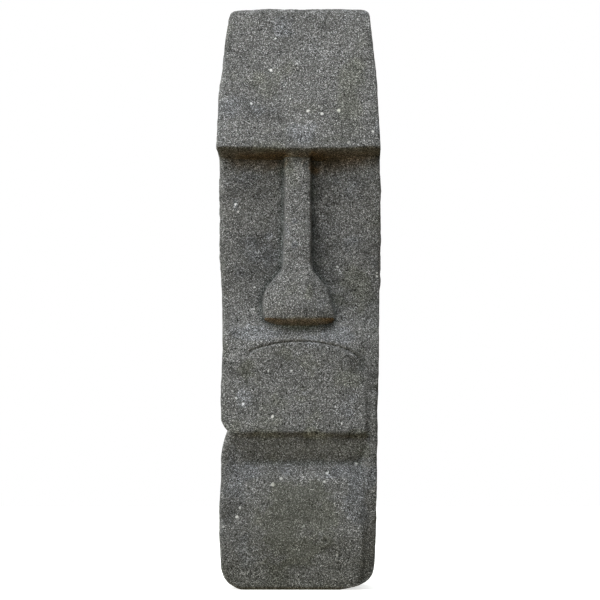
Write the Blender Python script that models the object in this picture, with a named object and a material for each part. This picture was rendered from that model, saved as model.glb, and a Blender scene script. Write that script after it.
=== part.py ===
"""Moai head: a garden statue carved from one block of grey andesite.

Metres, +Z up. The face looks along -Y and +X lies on the viewer's right.
The origin is on the ground, under the middle of the block.

The block is lofted from level outlines. Each outline is read from a few
profiles: how far the face is set back, how wide each side is and how the nose
and the right border stand out from the cheeks.
"""

import bmesh
import bpy
import numpy as np

# The block
HEIGHT = 1.000
DEPTH = 0.230
BACK_SETBACK = ((0.000, 0.004), (0.300, 0.000), (0.760, 0.002), (1.000, 0.010))

# Levels of the carving, from the crown down
BROW_EDGE = 0.7470
BROW_ROOT = 0.7335
NOSE_BASE = 0.4555
NOSE_ROOT = 0.4468
MOUTH = 0.4160
CHIN_EDGE = 0.2628
CHIN_ROOT = 0.2550
NECK_BACK = 0.2340
NECK_FOOT = 0.2135
PLINTH_TOP = 0.1850

# Setback of each level from the foremost plane
CHEEK_PROFILE = (
    (HEIGHT, 0.084),
    (BROW_EDGE, 0.018),
    (BROW_ROOT, 0.055),
    (0.640, 0.059),
    (0.520, 0.056),
    (0.480, 0.051),
    (0.452, 0.041),
    (0.422, 0.017),
    (0.370, 0.015),
    (0.320, 0.009),
    (CHIN_EDGE, 0.002),
    (CHIN_ROOT, 0.010),
    (NECK_BACK, 0.0165),
    (NECK_FOOT, 0.0240),
    (PLINTH_TOP, 0.011),
    (0.150, 0.006),
    (0.090, 0.004),
    (0.000, 0.014),
)
BORDER_PROFILE = (
    (HEIGHT, 0.084),
    (BROW_EDGE, 0.020),
    (0.7375, 0.048),
    (0.520, 0.052),
    (0.480, 0.048),
    (0.452, 0.040),
    (0.422, 0.0185),
    (0.390, 0.0165),
    (0.370, 0.0165),
    (0.290, 0.011),
    (0.225, 0.010),
    (0.145, 0.008),
    (0.000, 0.014),
)
EDGE_EASE = 0.0028

# The border that runs down the right of the face, past chin and neck:
# the line of its step, the width over which it rises and its turn to the side
BORDER_LINE = (
    (HEIGHT, 0.1190),
    (NECK_BACK, 0.1185),
    (NECK_FOOT, 0.1165),
    (PLINTH_TOP, 0.1175),
    (0.110, 0.1165),
    (0.040, 0.1120),
    (0.000, 0.1080),
)
BORDER_FADES = (
    (0.452, 0.070),
    (0.422, 0.040),
    (0.400, 0.012),
    (0.370, 0.009),
    (CHIN_EDGE, 0.007),
    (NECK_BACK, 0.008),
    (NECK_FOOT, 0.014),
    (0.000, 0.010),
)
BORDER_TURN = (
    (0.500, 0.30),
    (0.320, 0.25),
    (0.170, 0.15),
    (0.110, 0.50),
    (0.060, 0.90),
    (0.000, 1.00),
)
TURN_LEAD = 0.010

# The neck is filled again towards the left edge of the face
NECK_FADE = (-0.128, -0.068)
NECK_FILL = 0.80

# Half widths of the two sides
LEFT_SIDE = (
    (HEIGHT, 0.1195),
    (0.960, 0.1256),
    (0.915, 0.1304),
    (0.843, 0.1370),
    (BROW_EDGE, 0.1415),
    (BROW_ROOT, 0.1368),
    (0.560, 0.1353),
    (0.480, 0.1315),
    (0.422, 0.1300),
    (0.370, 0.1310),
    (0.320, 0.1308),
    (NECK_BACK, 0.1303),
    (0.150, 0.1324),
    (0.090, 0.1330),
    (0.000, 0.1295),
)
RIGHT_SIDE = (
    (HEIGHT, 0.1205),
    (0.880, 0.1328),
    (BROW_EDGE, 0.1404),
    (BROW_ROOT, 0.1393),
    (0.640, 0.1391),
    (0.480, 0.1370),
    (0.422, 0.1352),
    (0.370, 0.1341),
    (0.320, 0.1326),
    (PLINTH_TOP, 0.1327),
    (0.150, 0.1311),
    (0.000, 0.1275),
)
SIDE_TAPER = 0.006
LEFT_EDGE_RADIUS = 0.009
RIGHT_EDGE_RADIUS = 0.0045
BACK_EDGE_RADIUS = 0.016

# The notch that the neck cuts into the left side
NOTCH_LEVEL = 0.2655
NOTCH_DEPTH = 0.0110
NOTCH_ABOVE = 0.024
NOTCH_BELOW = 0.048
NOTCH_POWERS = (2.2, 2.0)

# Top and bottom: the crown drops a little to its left and right ends,
# and both lower corners are cut away
CROWN_RADIUS = 0.011
CROWN_DOME = 0.0015
CROWN_BOW = 0.0022
BOW_LEVELS = (0.930, 0.990)
FOOT_RADIUS = 0.007
LEFT_FOOT_CUT = (0.0320, 0.0115)
RIGHT_FOOT_CUT = (0.0575, 0.0101)
FOOT_CUT_END = 0.050

# The nose: a straight ridge that flares to the nostrils and is drawn in below them
NOSE_PROFILE = (
    (HEIGHT, 0.120),
    (BROW_EDGE, 0.020),
    (0.7370, 0.0395),
    (0.640, 0.031),
    (0.560, 0.020),
    (0.475, 0.005),
    (NOSE_BASE, 0.0068),
    (0.4525, 0.0103),
    (0.4497, 0.0165),
    (NOSE_ROOT, 0.0280),
    (0.425, 0.060),
)
NOSE_LEFT = (
    (HEIGHT, 0.0208),
    (0.640, 0.0215),
    (0.545, 0.0250),
    (0.536, 0.0280),
    (0.527, 0.0372),
    (0.511, 0.0500),
    (0.498, 0.0560),
    (0.485, 0.0580),
    (0.465, 0.0574),
    (NOSE_BASE, 0.0548),
    (0.4500, 0.0440),
    (NOSE_ROOT, 0.0310),
)
NOSE_RIGHT = (
    (HEIGHT, 0.0202),
    (0.560, 0.0200),
    (0.545, 0.0211),
    (0.536, 0.0235),
    (0.527, 0.0315),
    (0.511, 0.0443),
    (0.498, 0.0515),
    (0.485, 0.0550),
    (0.465, 0.0590),
    (NOSE_BASE, 0.0600),
    (0.4497, 0.0570),
    (NOSE_ROOT, 0.0440),
)
NOSE_SIDE_EASE = 0.0025
NOSE_FLARE_LEVELS = (0.550, 0.490)
NOSE_LEFT_FLANK = 0.0050
NOSE_RIGHT_FLANK = 0.0034
NOSE_ROUNDING = 0.0035
NOSE_BULB_ROUNDING = 0.0105
NOSE_LEAN = 0.012
NOSE_LEAN_REACH = 0.060
NOSE_LEAN_LEVELS = (0.428, 0.444, 0.462, 0.500)

# The mouth: an arched cut that turns down at its right end
MOUTH_DEPTHS = (
    (-0.092, 0.0),
    (-0.078, 0.0027),
    (0.060, 0.0028),
    (0.090, 0.0040),
    (0.112, 0.0),
)
MOUTH_HALF_CUT = 0.0024
MOUTH_CENTRE = 0.003
MOUTH_SAG = 2.12
MOUTH_TURN = 253.0
MOUTH_TURN_START = 0.070
MOUTH_SAG_LIMIT = 0.052
MOUTH_BAND = (0.290, 0.447)

# Past the ends of the mouth the lip runs softly into the chin
SOFT_EASE = 0.012
SOFT_PLACES = (0.070, 0.105)
SOFT_LEVELS = (0.350, 0.385, 0.428, 0.440)

# The brow's edge hangs a little lower from its middle to the right
BROW_SAG = 0.0036
SAG_PLACES = (-0.130, 0.050, 0.085, 0.125)
SAG_RETURN = 0.9
SAG_LEVELS = (0.660, 0.730, 0.765, 0.850)

# The ears, long and in low relief
EAR_RELIEF = 0.0035
EAR_LEVELS = (0.495, 0.7335)
EAR_SPAN = (-0.009, 0.053)
EAR_EASE = 0.25
EAR_SQUARENESS = 5.0

# The mesh
ROW_GAP = 0.024
CROWN_TURNS = (0.0, 0.12, 0.35, 0.65, 1.0)
FOOT_TURNS = (0.0, 0.05, 0.15, 0.30, 0.55, 1.0)
FACE_COLUMNS = (8, 3, 3, 3, 3, 7, 3, 2)
SIDE_COLUMNS = (3, 1, 2, 1, 3)
BACK_COLUMNS = 6
EDGE_COLUMNS = 4
CAP_SCALES = (0.80, 0.50)
LEAST_STEP = 0.003
SHARP_ANGLE = np.radians(40.0)


def clear_scene():
    for thing in list(bpy.data.objects):
        bpy.data.objects.remove(thing, do_unlink=True)


def ease(value, start, end):
    """Smooth step from 0 at start to 1 at end; start may lie above end."""
    share = np.clip((value - start) / (end - start), 0.0, 1.0)
    return share * share * (3.0 - 2.0 * share)


def read(profile, level, radius=0.0):
    """Read a profile of (level, size) pairs, with its corners eased over a radius."""
    levels, sizes = np.array(sorted(profile)).T
    nearby = level + radius * np.linspace(-1.0, 1.0, 5)
    return float(np.mean(np.interp(nearby, levels, sizes)))


def quarter_round(distance, radius):
    """Inset of a rounded edge, at a distance from the end of its block."""
    rise = np.clip(1.0 - distance / radius, 0.0, 1.0)
    return radius * (1.0 - np.sqrt(1.0 - rise * rise))


def crown_inset(level):
    """Inset of the outline where the crown is rounded."""
    return quarter_round(HEIGHT - CROWN_DOME - level, CROWN_RADIUS)


def edge_inset(level):
    """Inset of front and back where the crown and the foot are rounded."""
    return crown_inset(level) + quarter_round(level, FOOT_RADIUS)


def crown_bow(x, level):
    """How far the crown's level lines drop towards its left and right ends."""
    share = np.minimum(1.0, (x / read(LEFT_SIDE, HEIGHT)) ** 2)
    return CROWN_BOW * ease(level, *BOW_LEVELS) * share


def foot_cut(level, cut):
    """Width lost at a level where a lower corner is cut away."""
    width, height = cut
    return width * np.exp(-level / height)


def half_widths(level):
    """Left and right half widths of the block at a level."""
    crown = crown_inset(level)
    left = read(LEFT_SIDE, level, EDGE_EASE) - foot_cut(level, LEFT_FOOT_CUT) - crown
    right = read(RIGHT_SIDE, level, EDGE_EASE) - foot_cut(level, RIGHT_FOOT_CUT) - crown
    return left, right


def notch(level):
    """Depth of the neck's notch in the left side."""
    above = np.clip((level - NOTCH_LEVEL) / NOTCH_ABOVE, 0.0, 1.0)
    below = np.clip((NOTCH_LEVEL - level) / NOTCH_BELOW, 0.0, 1.0)
    upper_power, lower_power = NOTCH_POWERS
    return NOTCH_DEPTH * (1.0 - above) ** upper_power * (1.0 - below) ** lower_power


def nose_half_widths(level):
    """Left and right half widths of the nose at a level."""
    return read(NOSE_LEFT, level, NOSE_SIDE_EASE), read(NOSE_RIGHT, level, NOSE_SIDE_EASE)


def band_share(level, levels):
    """How far a level lies inside a band: 0 outside, 1 between its two middle levels."""
    bottom, low, high, top = levels
    return ease(level, bottom, low) * ease(level, top, high)


def border_lines(level):
    """Inner and outer line of the step between the cheek and the right border."""
    line = read(BORDER_LINE, level, EDGE_EASE)
    return line - read(BORDER_FADES, level, EDGE_EASE), line


def mouth_cut(x, level):
    """Depth of the cut between the lips, which fades at its ends."""
    across = max(0.0, 1.0 - abs(level - MOUTH) / MOUTH_HALF_CUT)
    return across * np.array([read(MOUTH_DEPTHS, place) for place in x - MOUTH_CENTRE])


def soft_share(x, level):
    """How far the lip's edge is softened: 0 along the mouth, 1 past its ends."""
    return band_share(level, SOFT_LEVELS) * ease(np.abs(x - MOUTH_CENTRE), *SOFT_PLACES)


def unnecked(level):
    """Setback of the front if the neck were not cut in; large away from the neck."""
    if not PLINTH_TOP < level < CHIN_EDGE:
        return HEIGHT
    share = (level - PLINTH_TOP) / (CHIN_EDGE - PLINTH_TOP)
    below, above = read(CHEEK_PROFILE, PLINTH_TOP), read(CHEEK_PROFILE, CHIN_EDGE)
    return below * (1.0 - share) + above * share


def cheek_setback(x, level):
    """Setback of forehead, cheeks, chin, neck and plinth at each x of one level."""
    soft = soft_share(x, level)
    crisp = read(CHEEK_PROFILE, level, EDGE_EASE)
    cheek = crisp * (1.0 - soft) + read(CHEEK_PROFILE, level, SOFT_EASE) * soft
    filled = NECK_FILL * ease(x, NECK_FADE[1], NECK_FADE[0])
    return cheek - filled * np.maximum(0.0, cheek - unnecked(level))


def face_setback(x, level):
    """Setback of the face at each x of one level."""
    inner, line = border_lines(level)
    past = np.maximum(0.0, x - line + TURN_LEAD)
    turn = read(BORDER_TURN, level) * past ** 2 / (past + TURN_LEAD)
    turned = read(BORDER_PROFILE, level, EDGE_EASE) + turn
    share = ease(x, inner, line)
    ground = cheek_setback(x, level) * (1.0 - share) + turned * share
    left, right = nose_half_widths(level)
    half = np.where(x < 0.0, left, right)
    bulb = ease(level, *NOSE_FLARE_LEVELS)
    rounding = NOSE_ROUNDING + (NOSE_BULB_ROUNDING - NOSE_ROUNDING) * bulb
    across = np.minimum(1.0, np.abs(x) / half)
    ridge = read(NOSE_PROFILE, level, EDGE_EASE) + rounding * across ** 3
    away = ease(np.abs(x), half, half + np.where(x < 0.0, NOSE_LEFT_FLANK, NOSE_RIGHT_FLANK))
    nose = ridge * (1.0 - away) + ground * away
    return np.minimum(ground, nose) + mouth_cut(x, level) + edge_inset(level)


def mouth_sag(x, level):
    """How far a level line droops at x, so that the lines follow the mouth's arch."""
    low, high = MOUTH_BAND
    share = ease(level, low, MOUTH) * ease(level, high, MOUTH)
    beyond = np.maximum(0.0, x - MOUTH_CENTRE - MOUTH_TURN_START)
    sag = MOUTH_SAG * (x - MOUTH_CENTRE) ** 2 + MOUTH_TURN * beyond ** 3
    return share * np.minimum(sag, MOUTH_SAG_LIMIT)


def brow_sag(x, level):
    """How far a level line droops at x, where the brow's edge does."""
    start, full, turn, end = SAG_PLACES
    across = ease(x, start, full) * (1.0 - SAG_RETURN * ease(x, turn, end))
    return BROW_SAG * band_share(level, SAG_LEVELS) * across


def nose_lean(x, level):
    """How far a level line droops at x, where the underside of the nose leans."""
    near = np.clip(x, -NOSE_LEAN_REACH, NOSE_LEAN_REACH)
    return -NOSE_LEAN * band_share(level, NOSE_LEAN_LEVELS) * near


def ear_relief(y, level):
    """Relief of the ear on a side: a long panel with rounded corners and soft edges."""
    low, high = EAR_LEVELS
    front, back = EAR_SPAN
    along = abs(2.0 * level - low - high) / (high - low)
    across = np.abs(2.0 * y - front - back) / (back - front)
    reach = (along ** EAR_SQUARENESS + across ** EAR_SQUARENESS) ** (1.0 / EAR_SQUARENESS)
    return EAR_RELIEF * ease(reach, 1.0, 1.0 - EAR_EASE)


def spread(knots, counts):
    """Stations from the first knot to the last, with a number of steps between each two."""
    parts = [
        np.linspace(start, end, count, endpoint=False)
        for start, end, count in zip(knots[:-1], knots[1:], counts)
    ]
    return np.concatenate(parts)


def arc(centre_x, centre_y, radius, start):
    """Points on a quarter arc from a start angle, without its last point."""
    angle = np.radians(np.linspace(start, start + 90.0, EDGE_COLUMNS, endpoint=False))
    return centre_x + radius * np.cos(angle), centre_y + radius * np.sin(angle)


def side_points(half, cut, level, start_y, end_y):
    """Half widths and places along a side: it narrows to the back and carries the ear."""
    front_y, back_y = sorted((start_y, end_y))
    ear_front, ear_back = EAR_SPAN
    slope = EAR_EASE * (ear_back - ear_front) / 2.0
    knots = (front_y, ear_front, ear_front + slope, ear_back - slope, ear_back, back_y)
    forwards = start_y > end_y
    y = spread(knots[::-1], SIDE_COLUMNS[::-1]) if forwards else spread(knots, SIDE_COLUMNS)
    share = (y - front_y) / (back_y - front_y)
    width = half - cut * (1.0 - share ** 3) - SIDE_TAPER * share ** 2
    return width + ear_relief(y, level), y


def face_knots(level, left, right):
    """Stations that the face's columns are spread between: nose, border and edges."""
    nose_left, nose_right = nose_half_widths(level)
    flank_left, flank_right = nose_left + NOSE_LEFT_FLANK, nose_right + NOSE_RIGHT_FLANK
    edge = right - RIGHT_EDGE_RADIUS
    inner, line = border_lines(level)
    line = min(line, edge - LEAST_STEP)
    inner = max(min(inner, line - LEAST_STEP), flank_right + LEAST_STEP)
    return (
        LEFT_EDGE_RADIUS - left, -flank_left, -nose_left, 0.0,
        nose_right, flank_right, inner, line, edge,
    )


def outline(level):
    """One closed outline of the block, counter-clockwise from the left of the face."""
    left, right = half_widths(level)
    cut = notch(level)
    knots = face_knots(level, left - cut, right)
    face_x = spread(knots, FACE_COLUMNS)
    face_y = face_setback(face_x, level) - DEPTH / 2.0
    left_end, right_end = face_setback(np.array((knots[0], knots[-1])), level) - DEPTH / 2.0
    left_y = left_end + LEFT_EDGE_RADIUS
    right_y = right_end + RIGHT_EDGE_RADIUS
    back_y = DEPTH / 2.0 - read(BACK_SETBACK, level) - edge_inset(level)
    turn_y = back_y - BACK_EDGE_RADIUS
    back_left = SIDE_TAPER + BACK_EDGE_RADIUS - left
    back_right = right - SIDE_TAPER - BACK_EDGE_RADIUS
    left_widths, left_places = side_points(left, cut, level, turn_y, left_y)
    pieces = (
        (face_x, face_y),
        arc(knots[-1], right_y, RIGHT_EDGE_RADIUS, -90.0),
        side_points(right, 0.0, level, right_y, turn_y),
        arc(back_right, turn_y, BACK_EDGE_RADIUS, 0.0),
        (spread((back_right, back_left), (BACK_COLUMNS,)), np.full(BACK_COLUMNS, back_y)),
        arc(back_left, turn_y, BACK_EDGE_RADIUS, 90.0),
        (-left_widths, left_places),
        arc(knots[0], left_y, LEFT_EDGE_RADIUS, 180.0),
    )
    x, y = np.hstack([np.stack(piece) for piece in pieces])
    fade = ease(y, DEPTH / 4.0, -DEPTH / 4.0)
    sag = mouth_sag(x, level) + brow_sag(x, level) + nose_lean(x, level)
    z = level - fade * sag - crown_bow(x, level)
    return np.column_stack((x, y, z))


def row_levels():
    """Levels of the outlines: close at every edge of the carving, wide between."""
    features = {level for level, _ in CHEEK_PROFILE + NOSE_PROFILE + LEFT_SIDE + RIGHT_SIDE}
    features.update(level for level, _ in BORDER_LINE + BORDER_FADES + NOSE_LEFT + NOSE_RIGHT)
    crisp = (BROW_EDGE, BROW_ROOT, NOSE_BASE, NOSE_ROOT, CHIN_EDGE, CHIN_ROOT)
    features.update(level + offset for level in crisp for offset in (-EDGE_EASE, EDGE_EASE))
    features.update((MOUTH - MOUTH_HALF_CUT, MOUTH, MOUTH + MOUTH_HALF_CUT))
    features.update(EAR_LEVELS)
    features.update(HEIGHT - CROWN_DOME - CROWN_RADIUS * turn for turn in CROWN_TURNS)
    features.update(FOOT_CUT_END * turn for turn in FOOT_TURNS)
    features.discard(HEIGHT)
    marks = sorted(features)
    levels = [marks[0]]
    for mark in marks[1:]:
        gap = mark - levels[-1]
        if gap < EDGE_EASE / 2.0:
            continue
        steps = int(np.ceil(gap / ROW_GAP))
        levels.extend(np.linspace(levels[-1], mark, steps + 1)[1:])
    return levels


def crown_rings(rim):
    """Rings that close the crown in a low dome above its rim."""
    centre = (rim.min(axis=0) + rim.max(axis=0)) / 2.0
    for scale in CAP_SCALES:
        ring = centre + (rim - centre) * scale
        ring[:, 2] = HEIGHT - CROWN_DOME * scale ** 2 - crown_bow(ring[:, 0], HEIGHT)
        yield ring


def centred(rings):
    """Move the rings so that the origin lies under the middle of the block."""
    points = np.concatenate(rings)
    middle = (points.min(axis=0) + points.max(axis=0)) / 2.0
    middle[2] = 0.0
    return [ring - middle for ring in rings]


def head_mesh(name):
    """Build the closed mesh of the head from its outlines."""
    rings = [outline(level) for level in row_levels()]
    rings.extend(crown_rings(rings[-1]))
    rings = centred(rings)
    shaped = bmesh.new()
    loops = [[shaped.verts.new(point) for point in ring] for ring in rings]
    count = len(rings[0])
    for lower, upper in zip(loops[:-1], loops[1:]):
        for index in range(count):
            following = (index + 1) % count
            shaped.faces.new((lower[index], lower[following], upper[following], upper[index]))
    shaped.faces.new(reversed(loops[0]))
    middle = rings[-1].mean(axis=0)
    peak = shaped.verts.new((middle[0], middle[1], HEIGHT))
    for index in range(count):
        shaped.faces.new((loops[-1][index], loops[-1][(index + 1) % count], peak))
    mesh = bpy.data.meshes.new(name)
    shaped.to_mesh(mesh)
    shaped.free()
    mesh.shade_smooth()
    mesh.set_sharp_from_angle(angle=SHARP_ANGLE)
    return mesh


def stone_material():
    """Grey andesite, dressed but not polished."""
    material = bpy.data.materials.new("grey_andesite")
    material.use_nodes = True
    shader = material.node_tree.nodes["Principled BSDF"]
    shader.inputs["Base Color"].default_value = (0.150, 0.150, 0.138, 1.0)
    shader.inputs["Roughness"].default_value = 0.92
    shader.inputs["Metallic"].default_value = 0.0
    return material


def build_head():
    """The one piece: the carved block."""
    name = "moai_head"
    mesh = head_mesh(name)
    mesh.materials.append(stone_material())
    head = bpy.data.objects.new(name, mesh)
    bpy.context.scene.collection.objects.link(head)
    return head


def main():
    clear_scene()
    build_head()


main()
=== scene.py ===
"""The moai head's dressed stone, and the plain studio that shows it.

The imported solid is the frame. One finely carved mesh stands for it: the same level
outlines at a closer spacing, then the mason's uneven dressing, worn edges, chips and
pores. Metres, +Z up, and the face looks along -Y.
"""

import logging
import math
from dataclasses import dataclass, field
from enum import Enum
from itertools import chain

import bpy
import numpy as np
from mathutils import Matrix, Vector, noise
from mathutils.bvhtree import BVHTree
from mathutils.kdtree import KDTree


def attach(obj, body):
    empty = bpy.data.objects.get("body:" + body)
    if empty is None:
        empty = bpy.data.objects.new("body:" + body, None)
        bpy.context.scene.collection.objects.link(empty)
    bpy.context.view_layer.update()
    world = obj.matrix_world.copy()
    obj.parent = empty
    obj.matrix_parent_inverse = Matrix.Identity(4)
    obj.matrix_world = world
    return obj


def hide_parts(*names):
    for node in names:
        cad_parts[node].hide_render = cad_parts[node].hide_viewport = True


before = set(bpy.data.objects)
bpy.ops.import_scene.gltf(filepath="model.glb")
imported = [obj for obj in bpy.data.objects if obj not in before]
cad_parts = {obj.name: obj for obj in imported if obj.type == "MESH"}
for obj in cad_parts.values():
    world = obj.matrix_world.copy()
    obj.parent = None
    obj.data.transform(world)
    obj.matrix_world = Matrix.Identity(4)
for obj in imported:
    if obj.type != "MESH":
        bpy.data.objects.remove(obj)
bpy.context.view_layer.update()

CAD_NODE = "moai_head"
BODY = "root"
LOG = logging.getLogger("moai_head")

# Waves between the places where two seeds read their noise
SEED_GAP = 17.31
# Numbers of the Mix node's sockets that work on colours
MIX_SHARE, MIX_BELOW, MIX_ABOVE, MIX_RESULT = 0, 6, 7, 2

Pair = tuple[float, float]
Vec = tuple[float, float, float]
Four = tuple[float, float, float, float]
Stations = tuple[Pair, ...]
Socket = bpy.types.NodeSocket


class Tint(Enum):
    """Colours of the stone, of the paper and of light, as linear red, green and blue.

    The casts, the darkening near the ground, the painted shade in corners and under overhangs, and
    the wear multiply what they lie on.
    """

    MATRIX_DARK = (0.042, 0.0435, 0.0425)
    MATRIX_PALE = (0.1500, 0.1520, 0.1505)
    FELDSPAR = (0.853, 0.855, 0.895)
    PYROXENE = (0.008, 0.008, 0.008)
    CLAST = (0.740, 0.745, 0.750)
    SPECK = (0.97, 0.97, 0.97)
    FILM = (0.122, 0.124, 0.110)
    BLUE_CAST = (1.028, 1.052, 1.108)
    OLIVE_CAST = (0.955, 0.967, 0.885)
    # Darker towards the bottom.
    LOW_DARKENING = (0.868, 0.874, 0.830)
    # Painted shade for sheltered corners and creases.
    CORNER_SHADE = (0.612, 0.650, 0.640)
    # Painted shade on undersides, browned like light bounced up from the ground.
    UNDERSIDE_SHADE = (0.885, 0.595, 0.340)
    WORN = (1.080, 1.080, 1.080)
    PAPER = (0.900, 0.900, 0.890)
    PAPER_FIBRE = (0.880, 0.880, 0.870)
    BLACK = (0.0, 0.0, 0.0)
    WHITE = (1.0, 1.0, 1.0)

    def opaque(self) -> Four:
        """The colour with full opacity."""
        return (*self.value, 1.0)


def ease(value: np.ndarray | float, start: float, end: float) -> np.ndarray | float:
    """Smooth step from 0 at start to 1 at end.

    Args:
        value: Where to read the step.
        start: Value at which the step is 0; it may lie above end.
        end: Value at which the step is 1.

    Returns:
        The step, of the same shape as value.
    """
    share = np.clip((value - start) / (end - start), 0.0, 1.0)
    return share * share * (3.0 - 2.0 * share)


def quarter_round(distance: float, radius: float) -> float:
    """Inset of a rounded edge.

    Args:
        distance: How far the place is from the end of its block.
        radius: Radius of the edge.

    Returns:
        How far the surface is set in there.
    """
    rise = np.clip(1.0 - distance / radius, 0.0, 1.0)
    return radius * (1.0 - math.sqrt(1.0 - rise * rise))


def spread(knots: tuple[float, ...], counts: tuple[int, ...]) -> np.ndarray:
    """Stations from the first knot on, without the last one.

    Args:
        knots: Places that get a station.
        counts: Number of steps between each two knots.

    Returns:
        The stations in order.
    """
    parts = [
        np.linspace(start, end, count, endpoint=False)
        for start, end, count in zip(knots[:-1], knots[1:], counts)
    ]
    return np.concatenate(parts)


@dataclass(frozen=True)
class Profile:
    """Sizes at levels of the block, joined by straight lines."""

    stations: Stations

    def at(self, level: float, radius: float = 0.0) -> float:
        """Read the profile.

        Args:
            level: Height above the ground.
            radius: Height over which its corners are eased.

        Returns:
            The size at that level.
        """
        levels, sizes = np.array(sorted(self.stations)).T
        nearby = level + radius * np.linspace(-1.0, 1.0, 5)
        return float(np.mean(np.interp(nearby, levels, sizes)))

    def levels(self) -> set[float]:
        """The levels that the profile has a station at."""
        return {level for level, _ in self.stations}


@dataclass(frozen=True)
class Levels:
    """Heights of the carved edges above the ground."""

    top: float = 1.000
    brow_edge: float = 0.7470
    brow_root: float = 0.7335
    nose_base: float = 0.4555
    nose_root: float = 0.4468
    mouth: float = 0.4160
    chin_edge: float = 0.2628
    chin_root: float = 0.2550
    neck_back: float = 0.2340
    neck_foot: float = 0.2135
    plinth_top: float = 0.1850


AT = Levels()
EDGE_EASE = 0.0028


@dataclass(frozen=True)
class Nose:
    """A straight ridge that flares to slightly uneven nostrils."""

    front: Profile = Profile((
        (AT.top, 0.120), (AT.brow_edge, 0.020), (0.7370, 0.0395), (0.640, 0.031),
        (0.560, 0.020), (0.475, 0.005), (AT.nose_base, 0.0068), (0.4525, 0.0103),
        (0.4497, 0.0165), (AT.nose_root, 0.0280), (0.425, 0.060),
    ))
    left: Profile = Profile((
        (AT.top, 0.0208), (0.640, 0.0215), (0.545, 0.0250), (0.536, 0.0280),
        (0.527, 0.0372), (0.511, 0.0500), (0.498, 0.0560), (0.485, 0.0580), (0.465, 0.0574),
        (AT.nose_base, 0.0548), (0.4500, 0.0440), (AT.nose_root, 0.0310),
    ))
    right: Profile = Profile((
        (AT.top, 0.0202), (0.560, 0.0200), (0.545, 0.0211), (0.536, 0.0235),
        (0.527, 0.0315), (0.511, 0.0443), (0.498, 0.0515), (0.485, 0.0550), (0.465, 0.0590),
        (AT.nose_base, 0.0600), (0.4497, 0.0570), (AT.nose_root, 0.0440),
    ))
    flare_levels: Pair = (0.550, 0.490)
    side_ease: float = 0.0025
    flanks: Pair = (0.0050, 0.0034)
    rounding: float = 0.0035
    bulb_rounding: float = 0.0105

    def half_widths(self, level: float) -> Pair:
        """Left and right half widths of the nose at a level."""
        return self.left.at(level, self.side_ease), self.right.at(level, self.side_ease)

    def over(self, ground: np.ndarray, x: np.ndarray, level: float) -> np.ndarray:
        """Set the nose on the face.

        Args:
            ground: Setback of the face without its nose.
            x: Places across the face.
            level: Height above the ground.

        Returns:
            Setback of the face with its nose.
        """
        left, right = self.half_widths(level)
        half = np.where(x < 0.0, left, right)
        bulb = ease(level, *self.flare_levels)
        rounding = self.rounding + (self.bulb_rounding - self.rounding) * bulb
        across = np.minimum(1.0, np.abs(x) / half)
        ridge = self.front.at(level, EDGE_EASE) + rounding * across ** 3
        flank = np.where(x < 0.0, *self.flanks)
        away = ease(np.abs(x), half, half + flank)
        return np.minimum(ground, ridge * (1.0 - away) + ground * away)


@dataclass(frozen=True)
class Mouth:
    """An arched cut between the lips, with a softened edge past each end."""

    depths: Profile = Profile((
        (-0.092, 0.0), (-0.078, 0.0027), (0.060, 0.0028), (0.090, 0.0040), (0.112, 0.0),
    ))
    half_cut: float = 0.0024
    centre: float = 0.003
    sag: float = 2.12
    turn: float = 253.0
    turn_start: float = 0.070
    sag_limit: float = 0.052
    band: Pair = (0.290, 0.447)
    soft_ease: float = 0.012
    soft_places: Pair = (0.070, 0.105)
    soft_levels: Four = (0.350, 0.385, 0.428, 0.440)

    def cut(self, x: np.ndarray, level: float) -> np.ndarray:
        """Depth of the cut at each x of a level; it fades at its ends."""
        across = max(0.0, 1.0 - abs(level - AT.mouth) / self.half_cut)
        return across * np.array([self.depths.at(place) for place in x - self.centre])

    def soft_share(self, x: np.ndarray, level: float) -> np.ndarray:
        """How far the lip's edge is softened: 0 along the mouth, 1 past its ends."""
        bottom, low, high, top = self.soft_levels
        band = ease(level, bottom, low) * ease(level, top, high)
        return band * ease(np.abs(x - self.centre), *self.soft_places)

    def droop(self, x: np.ndarray, level: float) -> np.ndarray:
        """How far a level line droops at x; the arch turns down at its right end."""
        low, high = self.band
        share = ease(level, low, AT.mouth) * ease(level, high, AT.mouth)
        beyond = np.maximum(0.0, x - self.centre - self.turn_start)
        sag = self.sag * (x - self.centre) ** 2 + self.turn * beyond ** 3
        return share * np.minimum(sag, self.sag_limit)


@dataclass(frozen=True)
class Ears:
    """Long ears in low relief on both sides, each with a shallow hollow."""

    relief: float = 0.0035
    levels: Pair = (0.495, 0.7335)
    span: Pair = (-0.009, 0.053)
    edge: float = 0.25
    squareness: float = 5.0
    hollow: float = 0.0022
    hollow_shares: Pair = (0.72, 0.52)

    def slope(self) -> float:
        """Width of the sloping edge of the ear."""
        return self.edge * (self.span[1] - self.span[0]) / 2.0

    def at(self, y: np.ndarray, level: float) -> np.ndarray:
        """Relief of the ear at each y of a level."""
        low, high = self.levels
        front, back = self.span
        along = abs(2.0 * level - low - high) / (high - low)
        across = np.abs(2.0 * y - front - back) / (back - front)
        power = self.squareness
        reach = (along ** power + across ** power) ** (1.0 / power)
        hollow = self.hollow * ease(reach, *self.hollow_shares)
        return self.relief * ease(reach, 1.0, 1.0 - self.edge) - hollow


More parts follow.
